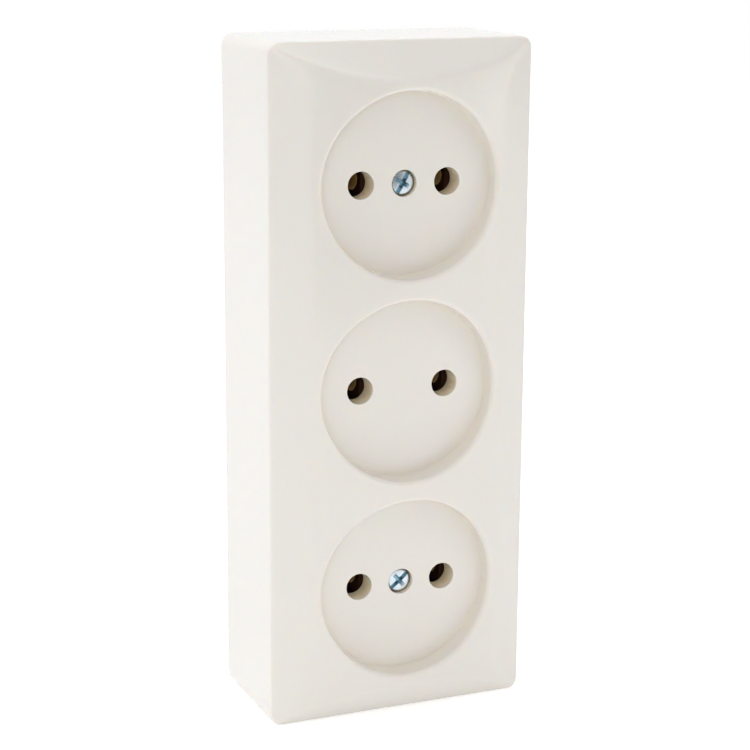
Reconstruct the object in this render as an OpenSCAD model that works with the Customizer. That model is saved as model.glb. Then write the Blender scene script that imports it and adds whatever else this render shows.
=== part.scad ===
// Triple surface socket: one arched cover with three round recesses over a
// resin base that carries two brass rails and six spring contacts.
// Every piece is drawn lying on its back: x to the right, y up the wall and
// z away from the wall. on_wall() then stands it up, front facing -Y.

/* [Cover] */
// Width of the cover, across the wall
cover_w = 57.8; // [57:0.1:64]
// Distance from an outer socket's centre to that end of the cover
end_margin = 28.8; // [28:0.1:36]
// Depth from the wall to the straight long edges of the front
edge_depth = 27.2; // [26:0.1:34]
// Rise of the arched front above its long edges
crown = 6.6; // [6:0.1:8]
// Distance from the middle to the shoulders between the arch and its flanks
shoulder_x = 20.7; // [20:0.1:23]
// Rise of the shoulders above the long edges
shoulder_rise = 4.4; // [4:0.1:5]
// Length up the wall of the slanted plane at each end of the front
end_run = 8.2; // [6:0.1:8.5]
// Radius of the dome that draws the front down to its corners
dome_r = 101; // [95:1:150]
// Distance from an outer socket's centre out to the centre of that dome
dome_past = 3.2; // [1:0.1:5]
// Wall thickness of the cover
wall = 2.4; // [1.8:0.1:3]
// Corner radius of the cover, seen from the front
corner_r = 2.5; // [1.5:0.1:4]
// Corner radius inside the cover, seen from the front
inner_corner_r = 1; // [0.6:0.1:1.5]
// Rounding along the front edges
edge_r = 1; // [0.5:0.1:1.5]
// Rounding of the ridge between the arch and a slanted end
ridge_r = 1.6; // [1:0.1:3]

/* [Sockets] */
// Distance between neighbouring sockets
socket_pitch = 42.4; // [42:0.1:44]
// Diameter of a recess
recess_d = 38; // [36:0.1:38.4]
// Depth of a recess below the crest of the arch
recess_depth = 5.3; // [4.6:0.1:6]
// Wall around a recess, behind the front
cup_wall = 2.4; // [2.2:0.1:3]
// Thickness of a recess floor
floor_t = 2.6; // [2:0.1:3]
// Distance between the two pins of a plug
pin_pitch = 19; // [18:0.1:20]
// Diameter of a pin hole
pin_hole_d = 5.65; // [5.2:0.05:5.8]
// Length of the wall around a pin, floor included
tube_len = 4.6; // [3.6:0.1:6]
// Wall thickness of the tube behind a pin hole
tube_wall = 1.3; // [1:0.1:1.4]

/* [Base] */
// Gap between the base and the inside of the cover
fit_gap = 0.25; // [0.1:0.05:0.5]
// Thickness of the base plate
base_t = 3; // [2.9:0.1:4]
// Height of the seats that lift the rails off the plate
seat_h = 2; // [1.6:0.1:3]
// Length of a rail seat, up the wall
seat_len = 14; // [10:0.5:18]
// Thickness of the ribs on the base
rib_t = 1.2; // [1:0.1:1.3]
// Height above the plate of the ribs on both sides of the contacts
rib_h = 17; // [8:0.5:17]
// Length that the ribs run past the outer sockets
rib_past = 5; // [4.5:0.1:6]
// Radius of the posts that take the cover screws
post_r = 5; // [5:0.1:5.2]
// Depth of the cover's screw boss, from the recess floor to the post
boss_depth = 8; // [6:0.1:10]
// Radius of the cover's screw boss
boss_r = 4.5; // [4:0.1:4.7]
// Diameter of the holes for the wall screws
wall_hole_d = 4.5; // [3.5:0.1:5]
// Wall of the ring around a wall screw hole
wall_ring_t = 2; // [1.2:0.1:2.1]
// Height of the ring around a wall screw hole
wall_ring_h = 1; // [0.5:0.1:2]
// Width of the cable opening
cable_w = 8; // [6:0.1:8.4]
// Height of the cable opening
cable_h = 12; // [8:0.1:12.5]

/* [Rails] */
// Width of a brass rail
rail_w = 6.2; // [5.8:0.1:6.4]
// Thickness of a brass rail
rail_t = 1; // [0.8:0.1:1.5]
// Gap between a rail and the ribs beside it
rail_gap = 0.3; // [0.1:0.05:0.4]
// Distance from the top sockets up to the terminals
terminal_rise = 14.5; // [14:0.1:16]
// Length of a rail past its last hole
rail_past = 4.8; // [4.6:0.1:5.5]

/* [Contacts] */
// Thickness of the contact strip
clip_t = 0.6; // [0.4:0.05:0.7]
// Radius inside a pair of jaws, at rest
jaw_r = 2.15; // [2.1:0.05:2.3]
// Length of the rounded jaws along the pin
jaw_len = 10; // [7:0.5:12]
// Width of a jaw
jaw_w = 4; // [3:0.1:4.2]
// Width of a spring arm
arm_w = 5; // [4.4:0.1:6]
// Length of the foot that is riveted to the rail
foot_len = 9; // [7:0.1:9.2]
// Gap between the jaws and the pin tube of the cover
jaw_gap = 4; // [0.5:0.1:4.5]
// Depth of the flared mouth of the jaws
flare = 0.8; // [0.4:0.1:1.2]
// How far the flared mouth opens out on each side
flare_out = 0.4; // [0.2:0.05:0.5]
// Diameter of a rivet
rivet_d = 2.4; // [2:0.1:2.6]
// Diameter of a rivet's heads
rivet_head_d = 4; // [3.6:0.1:4.1]
// Height of a rivet's heads
rivet_head_h = 0.7; // [0.4:0.1:1]
// Taper of a rivet's heads towards their outer faces
rivet_taper = 0.4; // [0.1:0.1:0.6]

/* [Cover screws] */
// Diameter of a cover screw
screw_d = 3; // [2.5:0.1:3.2]
// Diameter of its head
screw_head_d = 5.2; // [4.8:0.1:5.6]
// Height of its head
screw_head_h = 2; // [1.8:0.1:2.4]
// Depth that its head lies below the recess floor
head_sink = 0.8; // [0:0.1:1.2]
// Gap around the head in its counterbore
head_gap = 0.15; // [0.1:0.05:0.4]
// Gap around the shank in cover and base
shank_gap = 0.2; // [0.1:0.05:0.3]
// Turn of the top screw's slot from upright, clockwise from the front
screw_turn_top = 30; // [0:1:180]
// Turn of the bottom screw's slot from upright, clockwise from the front
screw_turn_bottom = 50; // [0:1:180]
// Width across the flats of a cover nut
nut_af = 5.5; // [5.2:0.1:6]
// Thickness of a cover nut
nut_t = 2.3; // [1.8:0.1:2.4]
// Depth that a nut lies behind the back of the base
nut_sink = 0.3; // [0.1:0.1:0.4]
// Gap around a nut in its pocket
nut_gap = 0.15; // [0.05:0.05:0.25]
// Gap between a thread and the thread it runs in
thread_gap = 0.05; // [0.02:0.01:0.1]

/* [Rail screws and terminals] */
// Diameter of a rail screw
rail_screw_d = 3; // [2.5:0.1:3.2]
// Diameter of a rail screw's head
rail_head_d = 5.6; // [5:0.1:6]
// Height of a rail screw's head
rail_head_h = 2; // [1.5:0.1:2.5]
// Diameter of a terminal screw
term_d = 4; // [3.5:0.1:4.2]
// Diameter of a terminal screw's head
term_head_d = 7; // [6:0.1:7.6]
// Height of a terminal screw's head
term_head_h = 2.4; // [2:0.1:3]
// Side of the square clamp plate
plate_w = 8; // [7:0.1:8.4]
// Thickness of the clamp plate
plate_t = 1.2; // [0.8:0.1:1.5]
// Side of the square terminal nut
term_nut_w = 7; // [6:0.1:7.2]
// Thickness of the terminal nut
term_nut_t = 3.2; // [2.6:0.1:3.4]
// Resin left around the terminal nut
term_pad_wall = 1.1; // [0.8:0.1:1.2]
// Width of the slots in the screw heads
slot_w = 0.9; // [0.6:0.1:1.1]
// Depth of the slots in the screw heads
slot_depth = 1; // [0.6:0.1:1.2]
// Chamfer around the screw heads
head_chamfer = 0.4; // [0.1:0.05:0.5]
// Length of each arm across the cross recess of a cover screw
cross_len = 3.3; // [2.6:0.1:3.8]
// Depth of the cross recess of a cover screw
cross_depth = 1.5; // [1.2:0.1:1.7]

/* [Hidden] */
$fn = 72;
over = 1;                                    // how far a cut runs past a face

cover_h = 2 * (socket_pitch + end_margin);   // height of the cover, up the wall
crest = edge_depth + crown;                  // wall to the crest of the arch
arch_rise = crown - shoulder_rise;           // rise of the arch above its shoulders
arch_r = (pow(shoulder_x, 2) + pow(arch_rise, 2)) / (2 * arch_rise);
arch_z = crest - arch_r;                     // depth of the arch's centre
flank_slope = shoulder_rise / (cover_w / 2 - shoulder_x);
end_slope = crown / end_run;
dome_y = socket_pitch + dome_past;
dome_drop = sqrt(pow(dome_r, 2) - pow(cover_w / 2, 2) - pow(cover_h / 2 - dome_y, 2));
dome_z = edge_depth - dome_drop;             // the dome meets the corners of the front
floor_z = crest - recess_depth;              // wall to the recess floors
floor_back = floor_z - floor_t;
recess_r = recess_d / 2;
cup_r = recess_r + cup_wall;
tube_r = pin_hole_d / 2 + tube_wall;
tube_end = floor_z - tube_len;
post_top = floor_z - boss_depth;
head_top = floor_z - head_sink;
head_seat = head_top - screw_head_h;

pin_x = pin_pitch / 2;
rows = [socket_pitch, 0, -socket_pitch];     // heights of the three sockets
screw_rows = [socket_pitch, -socket_pitch];  // the two with a cover screw
rail_screw_rows = [socket_pitch / 2, -socket_pitch / 2];
terminal_y = socket_pitch + terminal_rise;

rail_back = base_t + seat_h;
rail_front = rail_back + rail_t;
channel_half = rail_w / 2 + rail_gap;        // half the space between the ribs
barrier_x = pin_x - channel_half - rib_t;    // inner face of a barrier rib
guide_x = pin_x + channel_half;              // inner face of a guide rib
rib_end = socket_pitch + rib_past;
term_pad_w = term_nut_w + 2 * nut_gap + 2 * term_pad_wall;

tip_gap = 0.3;                               // free depth below a screw's tip
nut_past = 0.5;                              // length of a screw past its nut

jaw_front = tube_end - jaw_gap;
jaw_back = jaw_front - jaw_len;
jaw_outer = jaw_r + clip_t;
nut_back = nut_sink;                         // back face of a cover nut
nut_front = nut_back + nut_t;
plate_front = rail_front + plate_t;
term_tip = rail_back - term_nut_t - nut_past;
hole_end = 0.8;                              // resin left behind a rail screw

// Stands a piece up against the wall, with z pointing out towards -Y
module on_wall() {
    rotate([90, 0, 0]) children();
}

// What a rounding of radius r takes off the convex corner p between a and b
module corner_waste(a, p, b, r) {
    u = (a - p) / norm(a - p);
    v = (b - p) / norm(b - p);
    half = acos(u * v) / 2;
    centre = p + (u + v) / norm(u + v) * r / sin(half);
    reach = r / tan(half);
    difference() {
        polygon([p - (u + v) * r, p + u * reach, centre, p + v * reach]);
        translate(centre) circle(r);
    }
}

// One side of a roof, from the wall past the edge of the front to the middle:
// half is its half width, and it is set in by i
function roof_points(half, slope, i, back) = let (tilt = sqrt(1 + slope * slope)) [
    [half - i, back],
    [half - i, edge_depth - i * (tilt - slope)],
    [0, edge_depth + slope * half - i * tilt]
];

// Section of a block under two slanted planes
module roof(half, slope, i, back) {
    p = roof_points(half, slope, i, back);
    polygon([p[0], p[1], p[2], [-p[1][0], p[1][1]], [-p[0][0], p[0][1]]]);
}

// Section across the cover: two flanks under the arch, set in by i
module section_across(i, back) {
    intersection() {
        roof(cover_w / 2, flank_slope, i, back);
        translate([0, arch_z]) circle(arch_r - i, $fn = 360);
    }
}

// What lies above the dome at the upper end of the front, set in by i
module dome_waste(i) {
    difference() {
        translate([-cover_w, dome_y, edge_depth / 2]) cube([2 * cover_w, cover_h, crest]);
        translate([0, dome_y, dome_z]) sphere(dome_r - i, $fn = 360);
    }
}

// Outline of the cover on the wall, set in by i, with corners of radius r
module plan_outline(i, r) {
    w = cover_w - 2 * i;
    h = cover_h - 2 * i;
    square([w - 2 * r, h], center = true);
    square([w, h - 2 * r], center = true);
    for (x = [-1, 1], y = [-1, 1])
        translate([x * (w / 2 - r), y * (h / 2 - r)]) circle(r);
}

// The arched block that the outside and the hollow of the cover follow
module arched_block(i, back, r) {
    difference() {
        intersection() {
            rotate([90, 0, 0]) linear_extrude(cover_h + 2 * over, center = true)
                section_across(i, back);
            rotate([90, 0, 90]) linear_extrude(cover_w + 2 * over, center = true)
                roof(cover_h / 2, end_slope, i, back);
            translate([0, 0, back]) linear_extrude(crest - back + over)
                plan_outline(i, r);
        }
        for (end = [0, 1]) mirror([0, end, 0]) dome_waste(i);
    }
}

// The outside of the cover, with its front edges and ridges rounded
module cover_outside() {
    side_points = roof_points(cover_w / 2, flank_slope, 0, 0);
    end_points = roof_points(cover_h / 2, end_slope, 0, 0);
    ridge = [cover_h / 2 - end_run, crest];
    difference() {
        arched_block(0, 0, corner_r);
        for (side = [0, 1]) mirror([side, 0, 0])
            rotate([90, 0, 0]) linear_extrude(cover_h + 4 * over, center = true)
                corner_waste(side_points[0], side_points[1], side_points[2], edge_r);
        for (end = [0, 1]) mirror([0, end, 0])
            rotate([90, 0, 90]) linear_extrude(cover_w + 4 * over, center = true) {
                corner_waste(end_points[0], end_points[1], ridge, edge_r);
                corner_waste(end_points[1], ridge, [0, crest], ridge_r);
            }
    }
}

// A round bar standing off the wall between two depths
module bar(x, y, r, from, to) {
    translate([x, y, from]) cylinder(h = to - from, r = r);
}

// A block centred on x and y between two depths
module block(x, y, w, h, from, to) {
    translate([x - w / 2, y - h / 2, from]) cube([w, h, to - from]);
}

module cover() {
    color("ivory") on_wall() difference() {
        union() {
            difference() {
                cover_outside();
                arched_block(wall, -over, inner_corner_r);
            }
            intersection() {
                cover_outside();
                union() for (y = rows) bar(0, y, cup_r, floor_back, crest + over);
            }
            for (y = rows, side = [-1, 1])
                bar(side * pin_x, y, tube_r, tube_end, floor_z - floor_t / 2);
            for (y = screw_rows) bar(0, y, boss_r, post_top, floor_z - floor_t / 2);
        }
        for (y = rows) bar(0, y, recess_r, floor_z, crest + over);
        for (y = rows, side = [-1, 1])
            bar(side * pin_x, y, pin_hole_d / 2, tube_end - over, floor_z + over);
        for (y = screw_rows) {
            bar(0, y, screw_d / 2 + shank_gap, post_top - over, floor_z + over);
            bar(0, y, screw_head_d / 2 + head_gap, head_seat, floor_z + over);
        }
    }
}

// Ribs, seats and pad on the right half of the base
module base_pole() {
    for (x = [barrier_x, guide_x])
        block(x + rib_t / 2, 0, rib_t, 2 * rib_end, base_t / 2, base_t + rib_h);
    for (y = rail_screw_rows)
        block(pin_x, y, 2 * channel_half + rib_t, seat_len, base_t / 2, rail_back);
    block(pin_x, terminal_y, term_pad_w, term_pad_w, base_t / 2, rail_back);
}

// Holes and the nut pocket in the right half of the base
module base_pole_cuts() {
    nut_w = term_nut_w + 2 * nut_gap;
    for (y = rail_screw_rows)
        bar(pin_x, y, rail_screw_d / 2 + thread_gap, hole_end, rail_back + over);
    block(pin_x, terminal_y, nut_w, nut_w, rail_back - term_nut_t, rail_back + over);
    bar(pin_x, terminal_y, term_d / 2 + shank_gap, term_tip - tip_gap, rail_back);
}

module base() {
    color("saddlebrown") on_wall() difference() {
        union() {
            linear_extrude(base_t) plan_outline(wall + fit_gap, inner_corner_r);
            for (side = [0, 1]) mirror([side, 0, 0]) base_pole();
            for (y = screw_rows) bar(0, y, post_r, base_t / 2, post_top);
            for (y = rail_screw_rows)
                bar(0, y, wall_hole_d / 2 + wall_ring_t, base_t / 2, base_t + wall_ring_h);
        }
        for (side = [0, 1]) mirror([side, 0, 0]) base_pole_cuts();
        for (y = screw_rows) {
            bar(0, y, screw_d / 2 + shank_gap, -over, post_top + over);
            translate([0, y, -over]) nut_prism(nut_gap, nut_front + over);
        }
        for (y = rail_screw_rows) bar(0, y, wall_hole_d / 2, -over, base_t + wall_ring_h + over);
        block(0, terminal_y, cable_w, cable_h, -over, base_t + over);
    }
}

// A hexagonal prism that follows a cover nut, with a gap around it
module nut_prism(gap, h) {
    cylinder(h = h, r = (nut_af / 2 + gap) / cos(30), $fn = 6);
}

// A brass rail: one strip that joins the three contacts of a pole
module rail(side) {
    low = -socket_pitch - rail_past;
    high = terminal_y + rail_past;
    color("goldenrod") on_wall() difference() {
        block(side * pin_x, (low + high) / 2, rail_w, high - low, rail_back, rail_front);
        for (y = rows) bar(side * pin_x, y, rivet_d / 2 + thread_gap, 0, crest);
        for (y = rail_screw_rows) bar(side * pin_x, y, rail_screw_d / 2 + shank_gap, 0, crest);
        bar(side * pin_x, terminal_y, term_d / 2 + shank_gap, 0, crest);
    }
}

module rail_left() {
    rail(-1);
}

module rail_right() {
    rail(1);
}

// A contact: a folded brass strip with a foot, two arms and two round jaws
module contact(side, y) {
    color("gold") on_wall() translate([side * pin_x, y, 0]) difference() {
        union() {
            block(0, 0, 2 * jaw_outer, foot_len, rail_front, rail_front + clip_t);
            for (x = [-1, 1])
                block(x * (jaw_r + clip_t / 2), 0, clip_t, arm_w, rail_front, jaw_back + over);
            intersection() {
                bar(0, 0, jaw_outer, jaw_back, jaw_front);
                block(0, 0, 3 * jaw_outer, jaw_w, jaw_back, jaw_front);
            }
        }
        bar(0, 0, jaw_r, jaw_back - over, jaw_front + over);
        translate([0, 0, jaw_front - flare])
            cylinder(h = flare + over, r1 = jaw_r, r2 = jaw_r + flare_out * (flare + over) / flare);
        bar(0, 0, rivet_d / 2 + thread_gap, rail_back, rail_front + clip_t + over);
    }
}

module contact_top_left() {
    contact(-1, rows[0]);
}

module contact_top_right() {
    contact(1, rows[0]);
}

module contact_middle_left() {
    contact(-1, rows[1]);
}

module contact_middle_right() {
    contact(1, rows[1]);
}

module contact_bottom_left() {
    contact(-1, rows[2]);
}

module contact_bottom_right() {
    contact(1, rows[2]);
}

// The three rivets of a rail, each with a head in front and behind
module contact_rivets(side) {
    seat = rail_front + clip_t;
    color("darkgoldenrod") on_wall() for (y = rows) {
        bar(side * pin_x, y, rivet_d / 2, rail_back - rivet_head_h, seat + rivet_head_h);
        translate([side * pin_x, y, seat])
            cylinder(h = rivet_head_h, r1 = rivet_head_d / 2, r2 = rivet_head_d / 2 - rivet_taper);
        translate([side * pin_x, y, rail_back - rivet_head_h])
            cylinder(h = rivet_head_h, r1 = rivet_head_d / 2 - rivet_taper, r2 = rivet_head_d / 2);
    }
}

module contact_rivets_left() {
    contact_rivets(-1);
}

module contact_rivets_right() {
    contact_rivets(1);
}

// A cheese-head screw from its tip to its head, which is seated at depth seat
module screw_blank(d, head_d, head_h, seat, tip) {
    bar(0, 0, d / 2, tip, seat + head_h / 2);
    bar(0, 0, head_d / 2, seat, seat + head_h - head_chamfer);
    translate([0, 0, seat + head_h - head_chamfer])
        cylinder(h = head_chamfer, r1 = head_d / 2, r2 = head_d / 2 - head_chamfer);
}

// The same screw with one slot across its head
module slotted_screw(d, head_d, head_h, seat, tip) {
    difference() {
        screw_blank(d, head_d, head_h, seat, tip);
        block(0, 0, 2 * head_d, slot_w, seat + head_h - slot_depth, seat + head_h + over);
    }
}

// The two screws that hold a rail down on its seats
module rail_screws(side) {
    color("lightsteelblue") on_wall() for (y = rail_screw_rows) translate([side * pin_x, y, 0])
        slotted_screw(rail_screw_d, rail_head_d, rail_head_h, rail_front, hole_end + tip_gap);
}

module rail_screws_left() {
    rail_screws(-1);
}

module rail_screws_right() {
    rail_screws(1);
}

// A terminal screw, which presses the clamp plate on the wire
module terminal_screw(side) {
    color("lightsteelblue") on_wall() translate([side * pin_x, terminal_y, 0])
        slotted_screw(term_d, term_head_d, term_head_h, plate_front, term_tip);
}

module terminal_screw_left() {
    terminal_screw(-1);
}

module terminal_screw_right() {
    terminal_screw(1);
}

// The square plate under a terminal screw
module clamp_plate(side) {
    color("lightsteelblue") on_wall() difference() {
        block(side * pin_x, terminal_y, plate_w, plate_w, rail_front, plate_front);
        bar(side * pin_x, terminal_y, term_d / 2 + shank_gap, rail_back, crest);
    }
}

module clamp_plate_left() {
    clamp_plate(-1);
}

module clamp_plate_right() {
    clamp_plate(1);
}

// The square nut that a terminal screw runs in, held in the base
module terminal_nut(side) {
    color("lightsteelblue") on_wall() difference() {
        block(side * pin_x, terminal_y, term_nut_w, term_nut_w, rail_back - term_nut_t, rail_back);
        bar(side * pin_x, terminal_y, term_d / 2 + thread_gap, 0, crest);
    }
}

module terminal_nut_left() {
    terminal_nut(-1);
}

module terminal_nut_right() {
    terminal_nut(1);
}

// A long screw through cover and base, with a slot and a cross in its head
module cover_screw(y, turn) {
    color("lightsteelblue") on_wall() translate([0, y, 0]) rotate([0, 0, -turn]) difference() {
        screw_blank(screw_d, screw_head_d, screw_head_h, head_seat, nut_back);
        block(0, 0, slot_w, 2 * screw_head_d, head_top - slot_depth, head_top + over);
        block(0, 0, cross_len, slot_w, head_top - cross_depth, head_top + over);
        block(0, 0, slot_w, cross_len, head_top - cross_depth, head_top + over);
    }
}

module cover_screw_top() {
    cover_screw(screw_rows[0], screw_turn_top);
}

module cover_screw_bottom() {
    cover_screw(screw_rows[1], screw_turn_bottom);
}

// The nut that a cover screw runs in, held in the back of the base
module cover_nut(y) {
    color("lightsteelblue") on_wall() translate([0, y, nut_back]) difference() {
        nut_prism(0, nut_t);
        bar(0, 0, screw_d / 2 + thread_gap, -over, nut_t + over);
    }
}

module cover_nut_top() {
    cover_nut(screw_rows[0]);
}

module cover_nut_bottom() {
    cover_nut(screw_rows[1]);
}

cover();
base();
rail_left();
rail_right();
contact_top_left();
contact_top_right();
contact_middle_left();
contact_middle_right();
contact_bottom_left();
contact_bottom_right();
contact_rivets_left();
contact_rivets_right();
rail_screws_left();
rail_screws_right();
terminal_screw_left();
terminal_screw_right();
clamp_plate_left();
clamp_plate_right();
terminal_nut_left();
terminal_nut_right();
cover_screw_top();
cover_screw_bottom();
cover_nut_top();
cover_nut_bottom();
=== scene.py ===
import math

import bmesh
import bpy
import numpy as np
from mathutils import Matrix, Vector
from mathutils.geometry import delaunay_2d_cdt


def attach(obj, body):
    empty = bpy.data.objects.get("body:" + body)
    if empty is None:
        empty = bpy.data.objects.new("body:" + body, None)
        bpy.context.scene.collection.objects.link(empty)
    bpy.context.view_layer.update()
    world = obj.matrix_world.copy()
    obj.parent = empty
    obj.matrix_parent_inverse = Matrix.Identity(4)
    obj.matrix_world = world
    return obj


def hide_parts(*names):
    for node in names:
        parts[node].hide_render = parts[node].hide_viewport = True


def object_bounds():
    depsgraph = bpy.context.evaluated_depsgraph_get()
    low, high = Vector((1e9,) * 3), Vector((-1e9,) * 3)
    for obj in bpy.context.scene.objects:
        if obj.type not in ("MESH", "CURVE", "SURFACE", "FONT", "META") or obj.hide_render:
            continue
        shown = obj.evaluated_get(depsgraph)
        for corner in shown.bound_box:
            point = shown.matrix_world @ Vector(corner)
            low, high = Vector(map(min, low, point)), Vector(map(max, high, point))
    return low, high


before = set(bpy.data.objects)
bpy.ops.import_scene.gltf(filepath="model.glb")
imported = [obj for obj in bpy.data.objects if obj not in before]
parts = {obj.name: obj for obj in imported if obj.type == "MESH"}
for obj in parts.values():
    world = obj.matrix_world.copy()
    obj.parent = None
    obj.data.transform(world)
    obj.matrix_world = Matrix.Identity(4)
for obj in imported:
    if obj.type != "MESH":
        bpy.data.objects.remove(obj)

cad_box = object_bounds()


# The view: a long lens a little above the middle of the socket and to its left,
# looking slightly down, so that the left side shows and the top just shows.
view_yaw = math.radians(23.258)
view_pitch = math.radians(13.565)
view_roll = math.radians(0.362)
view_distance = 0.436705
view_target = Vector((0.000027, -0.014, -0.000691))

looking = Vector((
    math.sin(view_yaw) * math.cos(view_pitch),
    math.cos(view_yaw) * math.cos(view_pitch),
    -math.sin(view_pitch),
))
level = looking.cross(Vector((0, 0, 1))).normalized()
upright = level.cross(looking)
right = level * math.cos(view_roll) + upright * math.sin(view_roll)
above = upright * math.cos(view_roll) - level * math.sin(view_roll)

lens = bpy.data.cameras.new("view")
lens.sensor_width = 36
lens.lens = 98.24
lens.clip_start = 0.01
camera = bpy.data.objects.new("view", lens)
turned = Matrix((right, above, -looking)).transposed().to_4x4()
turned.translation = view_target - looking * view_distance
camera.matrix_world = turned
bpy.context.collection.objects.link(camera)
bpy.context.scene.camera = camera
bpy.context.scene.view_settings.view_transform = "Standard"


# The light: a white tent, brightest behind and round its small dark opening in front, and
# soft lamps on the left and right, behind the top, over the front and in front.
def new_node(tree, kind, **values):
    """Adds a node; a value goes to the input of that name, or else to the node itself."""
    made = tree.nodes.new(kind)
    for name, value in values.items():
        if hasattr(made, name):
            setattr(made, name, value)
        else:
            made.inputs[name.replace("_", " ")].default_value = value
    return made


def join(tree, *pairs):
    for out, into in pairs:
        tree.links.new(out, into)


tent = bpy.data.worlds.new("tent")
tent.use_nodes = True
tree = tent.node_tree
tree.nodes.clear()
towards = new_node(tree, "ShaderNodeTexCoord")
frontness = new_node(tree, "ShaderNodeVectorMath", operation="DOT_PRODUCT")
frontness.inputs[1].default_value = (0, -1, 0)
turned_up = new_node(tree, "ShaderNodeMapRange", From_Min=-1.0, From_Max=1.0)
cloth = new_node(tree, "ShaderNodeValToRGB")
cloth.color_ramp.interpolation = "EASE"
for at, level in ((0.10, 0.96), (0.60, 0.37), (0.80, 0.38), (0.90, 0.72), (0.949, 0.72), (0.960, 0.08)):
    stop = cloth.color_ramp.elements.new(at)
    stop.color = (level, level, level, 1)
cloth.color_ramp.elements.remove(cloth.color_ramp.elements[-1])
cloth.color_ramp.elements.remove(cloth.color_ramp.elements[0])
rays = new_node(tree, "ShaderNodeLightPath")
soft = new_node(tree, "ShaderNodeBackground", Color=(1, 1, 1, 1))
white = new_node(tree, "ShaderNodeBackground", Color=(1, 1, 1, 1), Strength=1.0)
either = new_node(tree, "ShaderNodeMixShader")
out = new_node(tree, "ShaderNodeOutputWorld")
join(
    tree,
    (towards.outputs["Generated"], frontness.inputs[0]),
    (frontness.outputs["Value"], turned_up.inputs["Value"]),
    (turned_up.outputs["Result"], cloth.inputs["Fac"]),
    (cloth.outputs["Color"], soft.inputs["Color"]),
    (rays.outputs["Is Camera Ray"], either.inputs[0]),
    (soft.outputs[0], either.inputs[1]),
    (white.outputs[0], either.inputs[2]),
    (either.outputs[0], out.inputs["Surface"]),
)
bpy.context.scene.world = tent

for name, place, wide, tall, power, tint in (
    ("lamp_left", (-1.35, 0.1, 0.6), 1.2, 1.2, 3.8, (0.94, 0.97, 1.0)),
    ("lamp_top", (-0.1, 0.5, 1.3), 1.1, 0.9, 6.6, (0.88, 0.94, 1.0)),
    ("lamp_right", (1.15, -0.75, 0.02), 0.7, 0.7, 2.0, (1.0, 0.97, 0.94)),
    ("lamp_front", (-0.55, -1.25, 0.42), 0.9, 0.6, 2.3, (1.0, 0.98, 0.96)),
    ("lamp_over", (0.1, -0.65, 1.1), 0.8, 0.7, 2.9, (1.0, 0.98, 0.96)),
):
    lamp = bpy.data.lights.new(name, "AREA")
    lamp.shape = "RECTANGLE"
    lamp.size = wide
    lamp.size_y = tall
    lamp.energy = power
    lamp.color = tint
    holder = bpy.data.objects.new(name, lamp)
    holder.location = place
    holder.rotation_euler = (-Vector(place)).to_track_quat("-Z", "Y").to_euler()
    bpy.context.collection.objects.link(holder)


# The floor: white paper, level with the socket's lower end, which ends a little way in
# front of it. It stays white to the camera and keeps the socket's soft shadow.
floor_level = cad_box[0][2]
paper_mesh = bpy.data.meshes.new("paper_floor")
paper_mesh.from_pydata(
    [(x, y, floor_level) for x, y in ((-1.3, -0.45), (1.3, -0.45), (1.3, 1.3), (-1.3, 1.3))], [], [(0, 1, 2, 3)]
)
paper_floor = bpy.data.objects.new("paper_floor", paper_mesh)
bpy.context.collection.objects.link(paper_floor)

paper = bpy.data.materials.new("white_paper")
paper.use_nodes = True
tree = paper.node_tree
tree.nodes.clear()
fibres = new_node(tree, "ShaderNodeTexNoise", Scale=900.0, Detail=4.0)
fibre_tone = new_node(tree, "ShaderNodeMix", data_type="RGBA")
fibre_tone.inputs[6].default_value = (0.90, 0.90, 0.90, 1)
fibre_tone.inputs[7].default_value = (0.92, 0.92, 0.92, 1)
place = new_node(tree, "ShaderNodeTexCoord")
matt = new_node(tree, "ShaderNodeBsdfDiffuse")
rays = new_node(tree, "ShaderNodeLightPath")
glow_level = new_node(tree, "ShaderNodeMapRange", To_Min=0.20, To_Max=0.40)
glow = new_node(tree, "ShaderNodeEmission", Color=(1, 1, 1, 1))
both = new_node(tree, "ShaderNodeAddShader")
out = new_node(tree, "ShaderNodeOutputMaterial")
join(
    tree,
    (place.outputs["Object"], fibres.inputs["Vector"]),
    (fibres.outputs["Fac"], fibre_tone.inputs[0]),
    (fibre_tone.outputs[2], matt.inputs["Color"]),
    (rays.outputs["Is Camera Ray"], glow_level.inputs["Value"]),
    (glow_level.outputs["Result"], glow.inputs["Strength"]),
    (matt.outputs[0], both.inputs[0]),
    (glow.outputs[0], both.inputs[1]),
    (both.outputs[0], out.inputs["Surface"]),
)
paper_mesh.materials.append(paper)


# The base: one plate of dark brown phenolic resin, pressed in a mould, with ribs that
# part the two poles. It lies on the wall and carries everything else.
def new_group(name, inputs, outputs):
    """An empty shader node group with number inputs and outputs of the kinds given."""
    group = bpy.data.node_groups.new(name, "ShaderNodeTree")
    for label, value in inputs.items():
        group.interface.new_socket(
            label, in_out="INPUT", socket_type="NodeSocketFloat"
        ).default_value = value
    for label in outputs:
        group.interface.new_socket(label, in_out="OUTPUT", socket_type="NodeSocketFloat")
    return group, group.nodes.new("NodeGroupInput"), group.nodes.new("NodeGroupOutput")


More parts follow.
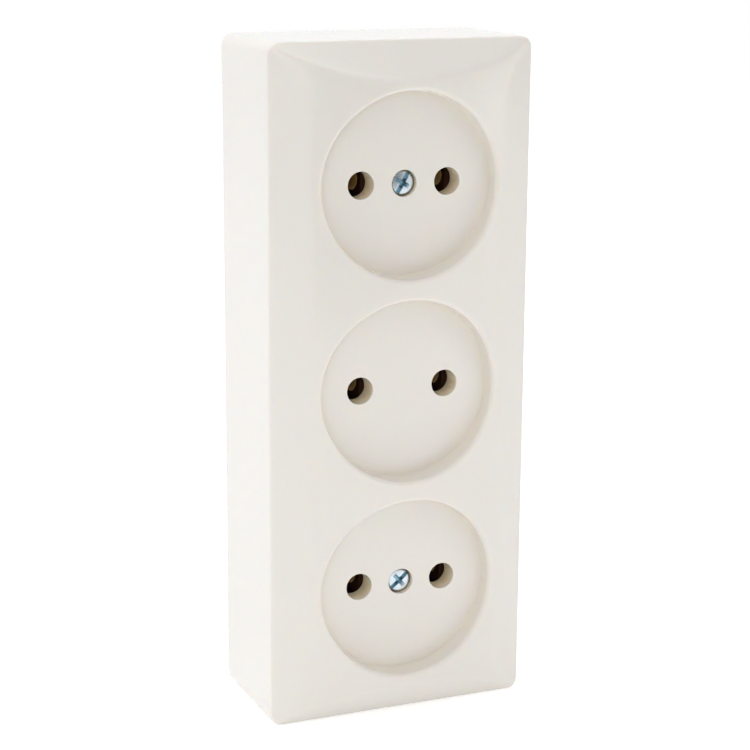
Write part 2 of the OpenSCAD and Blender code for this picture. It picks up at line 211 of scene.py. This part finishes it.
# Moulded skin: faint flow clouds in the resin and the fine skin that the mould leaves
moulded_skin, given, result = new_group(
    "moulded_skin", {"Cloud Scale": 60.0, "Skin Scale": 1500.0, "Speck Scale": 160.0, "Speck Size": 0.05},
    ("Clouds", "Skin", "Specks"),
)
place = new_node(moulded_skin, "ShaderNodeTexCoord")
clouds = new_node(moulded_skin, "ShaderNodeTexNoise", Detail=5.0, Roughness=0.6)
skin = new_node(moulded_skin, "ShaderNodeTexNoise", Detail=3.0)
grains = new_node(moulded_skin, "ShaderNodeTexVoronoi")
speck_rim = new_node(moulded_skin, "ShaderNodeMath", operation="LESS_THAN")
join(
    moulded_skin,
    (place.outputs["Object"], clouds.inputs["Vector"]),
    (place.outputs["Object"], skin.inputs["Vector"]),
    (place.outputs["Object"], grains.inputs["Vector"]),
    (given.outputs["Cloud Scale"], clouds.inputs["Scale"]),
    (given.outputs["Skin Scale"], skin.inputs["Scale"]),
    (given.outputs["Speck Scale"], grains.inputs["Scale"]),
    (grains.outputs["Distance"], speck_rim.inputs[0]),
    (given.outputs["Speck Size"], speck_rim.inputs[1]),
    (clouds.outputs["Fac"], result.inputs["Clouds"]),
    (skin.outputs["Fac"], result.inputs["Skin"]),
    (speck_rim.outputs[0], result.inputs["Specks"]),
)


def finish_of(name, group, settings, tones, tone_by, rough, rough_by, height, bump, **shader):
    """A material whose tone, roughness and relief all come from one finish group."""
    material = bpy.data.materials.new(name)
    material.use_nodes = True
    tree = material.node_tree
    surface = tree.nodes["Principled BSDF"]
    for label, value in shader.items():
        surface.inputs[label.replace("_", " ")].default_value = value
    marks = new_node(tree, "ShaderNodeGroup", node_tree=group)
    for label, value in settings.items():
        marks.inputs[label].default_value = value
    tone = new_node(tree, "ShaderNodeMix", data_type="RGBA")
    tone.inputs[6].default_value = (*tones[0], 1)
    tone.inputs[7].default_value = (*tones[1], 1)
    gloss = new_node(tree, "ShaderNodeMapRange", To_Min=rough[0], To_Max=rough[1])
    relief = new_node(tree, "ShaderNodeBump", Strength=bump[0], Distance=bump[1])
    join(
        tree,
        (marks.outputs[tone_by], tone.inputs[0]),
        (tone.outputs[2], surface.inputs["Base Color"]),
        (marks.outputs[rough_by], gloss.inputs["Value"]),
        (gloss.outputs["Result"], surface.inputs["Roughness"]),
        (marks.outputs[height], relief.inputs["Height"]),
        (relief.outputs["Normal"], surface.inputs["Normal"]),
    )
    return material, tone, marks


def dress(names, material, edge=0.0, steps=2):
    """Gives CAD pieces their finish, and breaks their edges by a few hundredths."""
    for name in names:
        piece = parts[name]
        for place in piece.material_slots:
            place.material = material
        if edge:
            softened = piece.modifiers.new("broken_edges", "BEVEL")
            softened.width = edge
            softened.segments = steps
            softened.limit_method = "ANGLE"
            softened.angle_limit = math.radians(40)
            softened.harden_normals = True


phenolic, tone, marks = finish_of(
    "phenolic_resin", moulded_skin, {"Cloud Scale": 90.0, "Skin Scale": 2500.0},
    ((0.120, 0.050, 0.030), (0.175, 0.078, 0.048)), "Clouds", (0.30, 0.42), "Skin", "Skin", (0.12, 0.0001),
)
dress(["base"], phenolic)


# The nuts: zinc-plated steel, two hexagonal ones sunk in the back of the base for the
# cover screws and two square ones in its pads for the terminal screws.
rolled_metal, given, result = new_group(
    "rolled_metal", {"Fine": 900.0, "Stretch": 14.0, "Blotch": 120.0}, ("Lines", "Blotches", "Pits"),
)
place = new_node(rolled_metal, "ShaderNodeTexCoord")
drawn_out = new_node(rolled_metal, "ShaderNodeCombineXYZ", X=1.0, Y=1.0)
along = new_node(rolled_metal, "ShaderNodeMath", operation="DIVIDE")
along.inputs[0].default_value = 1.0
squeezed = new_node(rolled_metal, "ShaderNodeVectorMath", operation="MULTIPLY")
lines = new_node(rolled_metal, "ShaderNodeTexNoise", Detail=3.0)
blotches = new_node(rolled_metal, "ShaderNodeTexNoise", Detail=6.0, Roughness=0.65)
pits = new_node(rolled_metal, "ShaderNodeTexNoise", Detail=2.0)
pit_scale = new_node(rolled_metal, "ShaderNodeMath", operation="MULTIPLY")
pit_scale.inputs[1].default_value = 3.0
join(
    rolled_metal,
    (given.outputs["Stretch"], along.inputs[1]),
    (along.outputs[0], drawn_out.inputs["Z"]),
    (place.outputs["Object"], squeezed.inputs[0]),
    (drawn_out.outputs[0], squeezed.inputs[1]),
    (squeezed.outputs[0], lines.inputs["Vector"]),
    (given.outputs["Fine"], lines.inputs["Scale"]),
    (place.outputs["Object"], blotches.inputs["Vector"]),
    (given.outputs["Blotch"], blotches.inputs["Scale"]),
    (place.outputs["Object"], pits.inputs["Vector"]),
    (given.outputs["Fine"], pit_scale.inputs[0]),
    (pit_scale.outputs[0], pits.inputs["Scale"]),
    (lines.outputs["Fac"], result.inputs["Lines"]),
    (blotches.outputs["Fac"], result.inputs["Blotches"]),
    (pits.outputs["Fac"], result.inputs["Pits"]),
)

zinc, tone, marks = finish_of(
    "zinc_plating", rolled_metal, {"Fine": 1400.0, "Stretch": 1.5, "Blotch": 350.0},
    ((0.62, 0.70, 0.78), (0.80, 0.87, 0.93)), "Blotches", (0.22, 0.40), "Pits", "Pits", (0.10, 0.0001),
    Metallic=1.0,
)
dress(["cover_nut_top", "cover_nut_bottom", "terminal_nut_left", "terminal_nut_right"], zinc)


# The rails and contacts: rolled brass strip, sheared and folded. Each rail joins three
# contacts, which are fixed to it by brass rivets, and their jaws grip the plug's pins.
brass, tone, marks = finish_of(
    "rolled_brass", rolled_metal, {"Fine": 1200.0, "Stretch": 18.0, "Blotch": 140.0},
    ((0.80, 0.52, 0.17), (0.93, 0.68, 0.28)), "Blotches", (0.38, 0.58), "Lines", "Lines", (0.10, 0.0001),
    Metallic=0.55,
)
brass_pieces = [
    "%s_%s" % (piece, side)
    for piece in ("rail", "contact_rivets", "contact_top", "contact_middle", "contact_bottom")
    for side in ("left", "right")
]
dress(brass_pieces[:4], brass)
dress(brass_pieces[4:], brass, 0.00010)


# The inner screws: zinc-plated steel, four that hold the rails down and two that press
# the square clamp plates on the wires of the supply.
dress(
    ["rail_screws_left", "rail_screws_right", "terminal_screw_left", "terminal_screw_right",
     "clamp_plate_left", "clamp_plate_right"],
    zinc,
)


# The cover: one moulding of glossy white urea resin with a gently arched front, flat flanks,
# slanted ends and three round recesses, closed over the base by two screws.
cover_w, cover_h = 57.8, 142.4
edge_depth, crest = 27.2, 33.8
shoulder_x, shoulder_rise = 20.7, 4.4
arch_rise = crest - edge_depth - shoulder_rise
arch_r = (shoulder_x ** 2 + arch_rise ** 2) / (2 * arch_rise)
flank_slope = shoulder_rise / (cover_w / 2 - shoulder_x)
end_slope = (crest - edge_depth) / 8.2
dome_r, dome_height = 101.0, 45.6
dome_mid = edge_depth - math.sqrt(dome_r ** 2 - (cover_w / 2) ** 2 - (cover_h / 2 - dome_height) ** 2)
shoulder_blend, dome_blend, ridge_blend = 0.6, 0.35, 0.5
corner_r = 2.5
edge_r = 1.0
wall = 2.4
socket_pitch = 42.4
recess_floor = 28.5
foot_r, mouth_r = 19.0, 19.1
rim_r, foot_round = 0.8, 0.35
cup_r, cup_back = 21.0, 25.9
pin_x, pin_hole_r = 9.5, 2.825
tube_r, tube_end = 4.125, 23.9
head_hole_r, head_seat = 2.75, 25.7
shank_hole_r, boss_r, boss_end = 1.7, 4.5, 20.5
hole_break = 0.18


def front_forms(x, z, inset=0.0):
    """Distance from the wall of the arch, the flank, the corner dome and the slanted end."""
    up = max(abs(z) - dome_height, 0)
    return (
        math.sqrt((arch_r - inset) ** 2 - x * x) + crest - arch_r,
        edge_depth + (cover_w / 2 - abs(x)) * flank_slope - inset * math.hypot(1, flank_slope),
        math.sqrt((dome_r - inset) ** 2 - x * x - up * up) + dome_mid if up else crest + 2,
        edge_depth + (cover_h / 2 - abs(z)) * end_slope - inset * math.hypot(1, end_slope),
    )


def front_depth(x, z, inset=0.0):
    """Distance of the front from the wall: the lowest of its forms, softly joined."""
    forms = front_forms(x, z, inset)
    front = forms[0]
    for form, blend in zip(forms[1:], (shoulder_blend, dome_blend, ridge_blend)):
        near = max(blend - abs(front - form), 0) / blend
        front = min(front, form) - near * near * blend / 4
    return front


def inner_depth(x, z):
    return front_depth(x, z, wall)


def outline(inset, r):
    """Points and outward directions around the cover on the wall, set in by inset."""
    w, h = cover_w / 2 - inset - r, cover_h / 2 - inset - r
    ring = []
    for number, (x, z) in enumerate(((w, -h), (w, h), (-w, h), (-w, -h))):
        for i in range(11):
            a = math.radians(90 * number - 90 + 9 * i)
            ring.append((x + r * math.cos(a), z + r * math.sin(a), math.cos(a), math.sin(a)))
        ahead = ((w, h), (-w, h), (-w, -h), (w, -h))[number]
        count = 80 if number % 2 == 0 else 32
        x0, z0, nx, nz = ring[-1]
        dx, dz = ahead[0] - x, ahead[1] - z
        ring += [(x0 + dx * i / count, z0 + dz * i / count, nx, nz) for i in range(1, count)]
    return ring


def edge_round(front, slope, r, steps):
    """How far in and how deep each step of a rounded edge is, up to a sloping front."""
    lean = math.atan(slope)
    centre = front + slope * r - r / math.cos(lean)
    turns = [(math.pi / 2 - lean) * i / steps for i in range(steps + 1)]
    return [(r - r * math.cos(a), centre + r * math.sin(a)) for a in turns]


shell = bmesh.new()


def ring_at(points):
    """A closed ring of vertices from x, z and depth."""
    return [shell.verts.new((x, -depth, z)) for x, z, depth in points]


def circle_at(x, z, r, depth, count=64):
    turns = [2 * math.pi * i / count for i in range(count)]
    return ring_at([(x + r * math.cos(a), z + r * math.sin(a), depth) for a in turns])


def skin_between(*rings):
    """Bands of quads from each ring to the next."""
    for low, high in zip(rings, rings[1:]):
        for i in range(len(low)):
            j = (i + 1) % len(low)
            shell.faces.new((low[i], low[j], high[j], high[i]))


def ring_holds(ring, x, z):
    """Whether a point lies inside a ring, by counting the edges to its right."""
    here = np.array([(v.co.x, v.co.z) for v in ring])
    ahead = np.roll(here, -1, 0)
    crosses = (here[:, 1] > z) != (ahead[:, 1] > z)
    a, b = here[crosses], ahead[crosses]
    at = a[:, 0] + (z - a[:, 1]) * (b[:, 0] - a[:, 0]) / (b[:, 1] - a[:, 1])
    return int((at > x).sum()) % 2 == 1


def fill(outer, holes, free=(), depth=None):
    """Small triangles between an outer ring and the rings of its holes."""
    corners = [v for ring in (outer, *holes) for v in ring]
    edges, start = [], 0
    for ring in (outer, *holes):
        edges += [(start + i, start + (i + 1) % len(ring)) for i in range(len(ring))]
        start += len(ring)
    corners += ring_at([(x, z, depth(x, z)) for x, z in free])
    flat = [Vector((v.co.x, v.co.z)) for v in corners]
    points, _, faces, source, _, _ = delaunay_2d_cdt(flat, edges, [], 0, 1e-7)
    for face in faces:
        x = sum(points[i].x for i in face) / 3
        z = sum(points[i].y for i in face) / 3
        if ring_holds(outer, x, z) and not any(ring_holds(hole, x, z) for hole in holes):
            shell.faces.new([corners[source[i][0]] for i in face])


def front_points(clear_edge, clear_cup, spacing, fine=True):
    """A field of points over the front, closer together along its creases."""
    found = []

    def keep(x, z):
        w, h = cover_w / 2 - corner_r, cover_h / 2 - corner_r
        out = math.hypot(max(abs(x) - w, 0), max(abs(z) - h, 0)) - corner_r
        if max(abs(x) - w, abs(z) - h) < 0:
            out = max(abs(x) - w, abs(z) - h) - corner_r
        rows = (socket_pitch, 0, -socket_pitch)
        if out < -clear_edge and all(math.hypot(x, z - row) > clear_cup for row in rows):
            found.append((x, z))

    def crease(x, z):
        """2 by the ridge of a slanted end, 1 by another crease, or else 0."""
        forms = front_forms(x, z)
        low, next_low = sorted(forms)[:2]
        if next_low - low > 0.8:
            return 0
        return 2 if forms[3] <= next_low else 1

    across, up = int(cover_w / 2 / spacing), int(cover_h / 2 / spacing)
    for i in range(-across, across + 1):
        for j in range(-up, up + 1):
            x, z = i * spacing, (j + 0.5 * (i % 2)) * spacing
            if not fine or not crease(x, z):
                keep(x, z)
    if fine:
        for i in range(-57, 58):
            for j in range(-215, 216):
                x, z = i * 0.5, j * 0.33
                kind = crease(x, z)
                if kind == 2 or (kind == 1 and i % 2 == 0 and j % 2 == 0):
                    keep(x, z)
    return found


border = outline(0, corner_r)
rounds = []
for x, z, nx, nz in border:
    front = front_depth(x, z)
    slope = (front_depth(x - nx * 0.4, z - nz * 0.4) - front) / 0.4
    steps = [(x - nx * t, z - nz * t, depth) for t, depth in edge_round(front, slope, edge_r, 6)]
    last = steps[-1]
    steps[-1] = (last[0], last[1], front_depth(last[0], last[1]))
    rounds.append(steps)
back_ring = ring_at([(x - nx * hole_break, z - nz * hole_break, 0) for x, z, nx, nz in border])
side_foot = ring_at([(x, z, hole_break) for x, z, nx, nz in border])
edge_rings = [ring_at([steps[i] for steps in rounds]) for i in range(7)]
skin_between(back_ring, side_foot, *edge_rings)

mouths, cups = [], []
for row in (socket_pitch, 0, -socket_pitch):
    turns = [2 * math.pi * i / 192 for i in range(192)]
    rims = []
    for a in turns:
        nx, nz = math.cos(a), math.sin(a)
        front = front_depth(nx * mouth_r, row + nz * mouth_r)
        slope = front_depth(nx * (mouth_r + 1), row + nz * (mouth_r + 1)) - front
        steps = []
        for t, depth in edge_round(front, slope, rim_r, 8):
            steps.append((nx * (mouth_r + t), row + nz * (mouth_r + t), depth))
        steps[-1] = (steps[-1][0], steps[-1][1], front_depth(steps[-1][0], steps[-1][1]))
        rims.append(steps)
    rim_rings = [ring_at([steps[i] for steps in rims]) for i in range(9)]
    foot_rings = []
    for i in range(5):
        a = math.pi / 2 * i / 4
        foot_rings.append(circle_at(
            0, row, foot_r - foot_round + foot_round * math.sin(a),
            recess_floor + foot_round * (1 - math.cos(a)), 192,
        ))
    skin_between(*foot_rings, *rim_rings)
    mouths.append(rim_rings[-1])

    floor_holes, back_holes = [], []
    for side in (-1, 1):
        x = side * pin_x
        floor_holes.append(circle_at(x, row, pin_hole_r + hole_break, recess_floor))
        back_holes.append(circle_at(x, row, tube_r, cup_back))
        skin_between(
            floor_holes[-1],
            circle_at(x, row, pin_hole_r + 0.05, recess_floor - 0.05),
            circle_at(x, row, pin_hole_r, recess_floor - hole_break),
            circle_at(x, row, pin_hole_r, tube_end),
            circle_at(x, row, tube_r, tube_end),
            back_holes[-1],
        )
    if row:
        floor_holes.append(circle_at(0, row, head_hole_r + 0.12, recess_floor))
        back_holes.append(circle_at(0, row, boss_r, cup_back))
        skin_between(
            floor_holes[-1],
            circle_at(0, row, head_hole_r + 0.03, recess_floor - 0.03),
            circle_at(0, row, head_hole_r, recess_floor - 0.12),
            circle_at(0, row, head_hole_r, head_seat),
            circle_at(0, row, shank_hole_r, head_seat),
            circle_at(0, row, shank_hole_r, boss_end),
            circle_at(0, row, boss_r, boss_end),
            back_holes[-1],
        )
    fill(foot_rings[0], floor_holes)
    turns = [2 * math.pi * i / 96 for i in range(96)]
    cup_front = ring_at([
        (cup_r * math.cos(a), row + cup_r * math.sin(a),
         inner_depth(cup_r * math.cos(a), row + cup_r * math.sin(a)))
        for a in turns
    ])
    cup_foot = circle_at(0, row, cup_r, cup_back, 96)
    skin_between(cup_front, cup_foot)
    fill(cup_foot, back_holes)
    cups.append(cup_front)

fill(edge_rings[-1], mouths, front_points(1.3, mouth_r + 1.6, 1.9), front_depth)

hollow = outline(wall, 1.0)
hollow_mouth = ring_at([(x, z, 0) for x, z, nx, nz in hollow])
hollow_top = ring_at([(x, z, inner_depth(x, z)) for x, z, nx, nz in hollow])
skin_between(back_ring, hollow_mouth, hollow_top)
fill(hollow_top, cups, front_points(wall + 1.3, cup_r + 0.8, 3.6, False), inner_depth)

bmesh.ops.recalc_face_normals(shell, faces=shell.faces)
cover_mesh = bpy.data.meshes.new("cover_moulding")
shell.to_mesh(cover_mesh)
shell.free()
cover_mesh.transform(Matrix.Scale(0.001, 4))
for face in cover_mesh.polygons:
    face.use_smooth = True
cover_mesh.set_sharp_from_angle(angle=math.radians(38))
cover = bpy.data.objects.new("cover_moulding", cover_mesh)
bpy.context.collection.objects.link(cover)
evened = cover.modifiers.new("even_shading", "WEIGHTED_NORMAL")
evened.keep_sharp = True
evened.weight = 50
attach(cover, "root")
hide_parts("cover")

# How near the foot of a recess or how far down in a pin tube a point lies: there the resin
# is painted warmer, as painted shade at the recess foot and painted warm light in the tubes
painted_recess_warmth, given, result = new_group(
    "painted_recess_warmth", {"Row Pitch": 0.0424, "Inner Radius": 0.0165, "Foot Radius": 0.0192, "Outer Radius": 0.0206}, ("Painted Foot Shade", "Painted Tube Light"),
)
place = new_node(painted_recess_warmth, "ShaderNodeTexCoord")
parts_of = new_node(painted_recess_warmth, "ShaderNodeSeparateXYZ")
rows_up = new_node(painted_recess_warmth, "ShaderNodeMath", operation="DIVIDE")
nearest = new_node(painted_recess_warmth, "ShaderNodeMath", operation="ROUND")
not_above = new_node(painted_recess_warmth, "ShaderNodeMath", operation="MINIMUM")
not_above.inputs[1].default_value = 1.0
not_below = new_node(painted_recess_warmth, "ShaderNodeMath", operation="MAXIMUM")
not_below.inputs[1].default_value = -1.0
row_height = new_node(painted_recess_warmth, "ShaderNodeMath", operation="MULTIPLY")
in_row = new_node(painted_recess_warmth, "ShaderNodeMath", operation="SUBTRACT")
off_axis = new_node(painted_recess_warmth, "ShaderNodeCombineXYZ")
reach = new_node(painted_recess_warmth, "ShaderNodeVectorMath", operation="LENGTH")
near_foot = new_node(painted_recess_warmth, "ShaderNodeMapRange", interpolation_type="SMOOTHSTEP")
sunk = new_node(
    painted_recess_warmth, "ShaderNodeMapRange", interpolation_type="SMOOTHSTEP", From_Min=-0.0325, From_Max=-0.0290
)
within = new_node(painted_recess_warmth, "ShaderNodeMath", operation="LESS_THAN")
low_down = new_node(painted_recess_warmth, "ShaderNodeMath", operation="MULTIPLY")
both = new_node(painted_recess_warmth, "ShaderNodeMath", operation="MULTIPLY")
under_floor = new_node(
    painted_recess_warmth, "ShaderNodeMapRange", interpolation_type="SMOOTHSTEP", From_Min=-0.0286, From_Max=-0.0270
)
in_tube = new_node(painted_recess_warmth, "ShaderNodeMath", operation="MULTIPLY")
join(
    painted_recess_warmth,
    (place.outputs["Object"], parts_of.inputs[0]),
    (parts_of.outputs["Z"], rows_up.inputs[0]),
    (given.outputs["Row Pitch"], rows_up.inputs[1]),
    (rows_up.outputs[0], nearest.inputs[0]),
    (nearest.outputs[0], not_above.inputs[0]),
    (not_above.outputs[0], not_below.inputs[0]),
    (not_below.outputs[0], row_height.inputs[0]),
    (given.outputs["Row Pitch"], row_height.inputs[1]),
    (parts_of.outputs["Z"], in_row.inputs[0]),
    (row_height.outputs[0], in_row.inputs[1]),
    (parts_of.outputs["X"], off_axis.inputs["X"]),
    (in_row.outputs[0], off_axis.inputs["Y"]),
    (off_axis.outputs[0], reach.inputs[0]),
    (reach.outputs["Value"], near_foot.inputs["Value"]),
    (given.outputs["Inner Radius"], near_foot.inputs["From Min"]),
    (given.outputs["Foot Radius"], near_foot.inputs["From Max"]),
    (parts_of.outputs["Y"], sunk.inputs["Value"]),
    (reach.outputs["Value"], within.inputs[0]),
    (given.outputs["Outer Radius"], within.inputs[1]),
    (sunk.outputs["Result"], low_down.inputs[0]),
    (within.outputs[0], low_down.inputs[1]),
    (near_foot.outputs["Result"], both.inputs[0]),
    (low_down.outputs[0], both.inputs[1]),
    (parts_of.outputs["Y"], under_floor.inputs["Value"]),
    (under_floor.outputs["Result"], in_tube.inputs[0]),
    (within.outputs[0], in_tube.inputs[1]),
    (both.outputs[0], result.inputs["Painted Foot Shade"]),
    (in_tube.outputs[0], result.inputs["Painted Tube Light"]),
)

urea, tone, marks = finish_of(
    "white_urea_resin", moulded_skin,
    {"Cloud Scale": 45.0, "Skin Scale": 1100.0, "Speck Scale": 55.0, "Speck Size": 0.008},
    ((0.834, 0.803, 0.757), (0.846, 0.815, 0.768)), "Clouds", (0.11, 0.17), "Skin", "Skin", (0.05, 0.0001),
    Subsurface_Weight=0.5, Subsurface_Radius=(1.0, 0.6, 0.3), Subsurface_Scale=0.0008,
)
tree = urea.node_tree
warm_shade_masks = new_node(tree, "ShaderNodeGroup", node_tree=painted_recess_warmth)
# Painted shade: the floor and wall near each recess foot are painted a warmer tone
painted_foot_shade = new_node(tree, "ShaderNodeMix", data_type="RGBA")
painted_foot_shade.inputs[7].default_value = (0.872, 0.818, 0.735, 1)
# Painted light: the pin tubes are painted amber deeper in, for the warm light the resin lets through
painted_tube_light = new_node(tree, "ShaderNodeMix", data_type="RGBA")
painted_tube_light.inputs[7].default_value = (0.92, 0.81, 0.62, 1)
specked = new_node(tree, "ShaderNodeMix", data_type="RGBA")
specked.inputs[7].default_value = (0.42, 0.37, 0.30, 1)
join(
    tree,
    (warm_shade_masks.outputs["Painted Foot Shade"], painted_foot_shade.inputs[0]),
    (tone.outputs[2], painted_foot_shade.inputs[6]),
    (warm_shade_masks.outputs["Painted Tube Light"], painted_tube_light.inputs[0]),
    (painted_foot_shade.outputs[2], painted_tube_light.inputs[6]),
    (marks.outputs["Specks"], specked.inputs[0]),
    (painted_tube_light.outputs[2], specked.inputs[6]),
    (specked.outputs[2], tree.nodes["Principled BSDF"].inputs["Base Color"]),
)
cover_mesh.materials.append(urea)


# The cover screws: zinc-plated steel with a rounded head, and a slot and a cross pressed
# into it. They are sunk in the recess floors and draw the cover down on the base's posts.
head_r, head_top, head_round = 2.6, 27.7, 0.5
shank_r, tip = 1.5, 0.3
slot_wide, slot_deep = 0.9, 1.0
cross_long, cross_deep = 3.3, 1.5


def turned_blank():
    """The screw before its slot is pressed, as a lathe would cut it, on its own axis."""
    profile = [(0.0, tip), (shank_r - 0.25, tip), (shank_r, tip + 0.25), (shank_r, head_seat),
               (head_r - 0.1, head_seat), (head_r, head_seat + 0.1)]
    for i in range(9):
        a = math.pi / 2 * i / 8
        profile.append((head_r - head_round * (1 - math.cos(a)),
                        head_top - 0.12 - head_round * (1 - math.sin(a))))
    profile += [(1.4, head_top - 0.03), (0.0, head_top)]
    steel = bmesh.new()
    rings = []
    for r, depth in profile:
        turns = [2 * math.pi * i / 72 for i in range(72 if r else 1)]
        rings.append([steel.verts.new((r * math.cos(a), -depth, r * math.sin(a))) for a in turns])
    for low, high in zip(rings, rings[1:]):
        for i in range(72):
            j = (i + 1) % 72
            four = [low[i % len(low)], low[j % len(low)], high[j % len(high)], high[i % len(high)]]
            steel.faces.new(list(dict.fromkeys(four)))
    bmesh.ops.recalc_face_normals(steel, faces=steel.faces)
    return steel


def wedge(long_top, long_foot, wide_top, wide_foot, deep):
    """The mark of one blade of the punch: wider and longer at the face than at its foot."""
    mark = bmesh.new()
    face_level = head_top + 0.4
    grow = (deep + 0.4) / deep
    ends = []
    for long, wide, depth in (
        (long_foot, wide_foot, head_top - deep),
        (long_foot + (long_top - long_foot) * grow, wide_foot + (wide_top - wide_foot) * grow, face_level),
    ):
        ends.append([
            mark.verts.new((x * wide / 2, -depth, z * long / 2))
            for x, z in ((-1, -1), (1, -1), (1, 1), (-1, 1))
        ])
    mark.faces.new(ends[0])
    mark.faces.new(ends[1])
    for i in range(4):
        j = (i + 1) % 4
        mark.faces.new((ends[0][i], ends[0][j], ends[1][j], ends[1][i]))
    bmesh.ops.recalc_face_normals(mark, faces=mark.faces)
    return mark


def object_from(name, shape):
    mesh = bpy.data.meshes.new(name)
    shape.to_mesh(mesh)
    shape.free()
    made = bpy.data.objects.new(name, mesh)
    bpy.context.collection.objects.link(made)
    return made


# How far a point lies in the slot or cross, and how near the rim of the head: masks for painted shade
head_painted_shade, given, result = new_group(
    "head_painted_shade", {"Face Depth": 0.0277, "Row Height": 0.0424, "Rim Radius": 0.0021}, ("Recess", "Rim"),
)
place = new_node(head_painted_shade, "ShaderNodeTexCoord")
parts_of = new_node(head_painted_shade, "ShaderNodeSeparateXYZ")
below = new_node(head_painted_shade, "ShaderNodeMath", operation="ADD")
recess_shade = new_node(head_painted_shade, "ShaderNodeMapRange", From_Min=0.0, From_Max=0.0006)
up = new_node(head_painted_shade, "ShaderNodeMath", operation="ABSOLUTE")
from_row = new_node(head_painted_shade, "ShaderNodeMath", operation="SUBTRACT")
off_axis = new_node(head_painted_shade, "ShaderNodeCombineXYZ")
reach = new_node(head_painted_shade, "ShaderNodeVectorMath", operation="LENGTH")
past = new_node(head_painted_shade, "ShaderNodeMath", operation="SUBTRACT")
rim_shade = new_node(head_painted_shade, "ShaderNodeMapRange", From_Min=0.0, From_Max=0.00025)
join(
    head_painted_shade,
    (place.outputs["Object"], parts_of.inputs[0]),
    (parts_of.outputs["Y"], below.inputs[0]),
    (given.outputs["Face Depth"], below.inputs[1]),
    (below.outputs[0], recess_shade.inputs["Value"]),
    (recess_shade.outputs["Result"], result.inputs["Recess"]),
    (parts_of.outputs["Z"], up.inputs[0]),
    (up.outputs[0], from_row.inputs[0]),
    (given.outputs["Row Height"], from_row.inputs[1]),
    (parts_of.outputs["X"], off_axis.inputs["X"]),
    (from_row.outputs[0], off_axis.inputs["Y"]),
    (off_axis.outputs[0], reach.inputs[0]),
    (reach.outputs["Value"], past.inputs[0]),
    (given.outputs["Rim Radius"], past.inputs[1]),
    (past.outputs[0], rim_shade.inputs["Value"]),
    (rim_shade.outputs["Result"], result.inputs["Rim"]),
)
punched_zinc, tone, marks = finish_of(
    "punched_zinc", rolled_metal, {"Fine": 1400.0, "Stretch": 1.5, "Blotch": 900.0},
    ((0.66, 0.76, 0.84), (0.84, 0.91, 0.96)), "Blotches", (0.20, 0.38), "Pits", "Pits", (0.15, 0.0001),
    Metallic=1.0,
)
tree = punched_zinc.node_tree
deep_in = new_node(tree, "ShaderNodeGroup", node_tree=head_painted_shade)
deep_in.inputs["Face Depth"].default_value = (head_top - 0.2) * 0.001
deep_in.inputs["Rim Radius"].default_value = (head_r - 0.5) * 0.001
# Painted shade: the slot and cross are painted a darker blue-grey
painted_slot_shade = new_node(tree, "ShaderNodeMix", data_type="RGBA")
painted_slot_shade.inputs[7].default_value = (0.30, 0.47, 0.56, 1)
# The rim is painted darker: painted shade and a painted dark reflection, with some real dullness of the edge
dull_and_shaded_rim = new_node(tree, "ShaderNodeMix", data_type="RGBA")
dull_and_shaded_rim.inputs[7].default_value = (0.34, 0.35, 0.32, 1)
join(
    tree,
    (deep_in.outputs["Recess"], painted_slot_shade.inputs[0]),
    (tone.outputs[2], painted_slot_shade.inputs[6]),
    (deep_in.outputs["Rim"], dull_and_shaded_rim.inputs[0]),
    (painted_slot_shade.outputs[2], dull_and_shaded_rim.inputs[6]),
    (dull_and_shaded_rim.outputs[2], tree.nodes["Principled BSDF"].inputs["Base Color"]),
)

for end, row, turn in (("top", socket_pitch, 30), ("bottom", -socket_pitch, 50)):
    screw = object_from("screw_" + end, turned_blank())
    punch = (
        wedge(7.0, 7.0, slot_wide, 0.7, slot_deep),
        wedge(cross_long, 1.3, 0.9, 0.55, cross_deep),
        wedge(0.9, 0.55, cross_long, 1.3, cross_deep),
    )
    for number, blade in enumerate(punch):
        cutter = object_from("blade_%s_%d" % (end, number), blade)
        cut = screw.modifiers.new("mark", "BOOLEAN")
        cut.operation = "DIFFERENCE"
        cut.solver = "EXACT"
        cut.object = cutter
        bpy.context.view_layer.update()
        cut_mesh = bpy.data.meshes.new_from_object(screw.evaluated_get(bpy.context.evaluated_depsgraph_get()))
        screw.modifiers.clear()
        screw.data = cut_mesh
        bpy.data.objects.remove(cutter)
    stand = Matrix.Translation((0, 0, row)) @ Matrix.Rotation(math.radians(turn), 4, "Y")
    screw.data.transform(Matrix.Scale(0.001, 4) @ stand)
    screw.data.materials.clear()
    screw.data.materials.append(punched_zinc)
    for face in screw.data.polygons:
        face.use_smooth = True
    screw.data.set_sharp_from_angle(angle=math.radians(30))
    softened = screw.modifiers.new("broken_edges", "BEVEL")
    softened.width = 0.00006
    softened.segments = 2
    softened.limit_method = "ANGLE"
    softened.angle_limit = math.radians(40)
    softened.harden_normals = True
    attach(screw, "root")
    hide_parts("cover_screw_" + end)
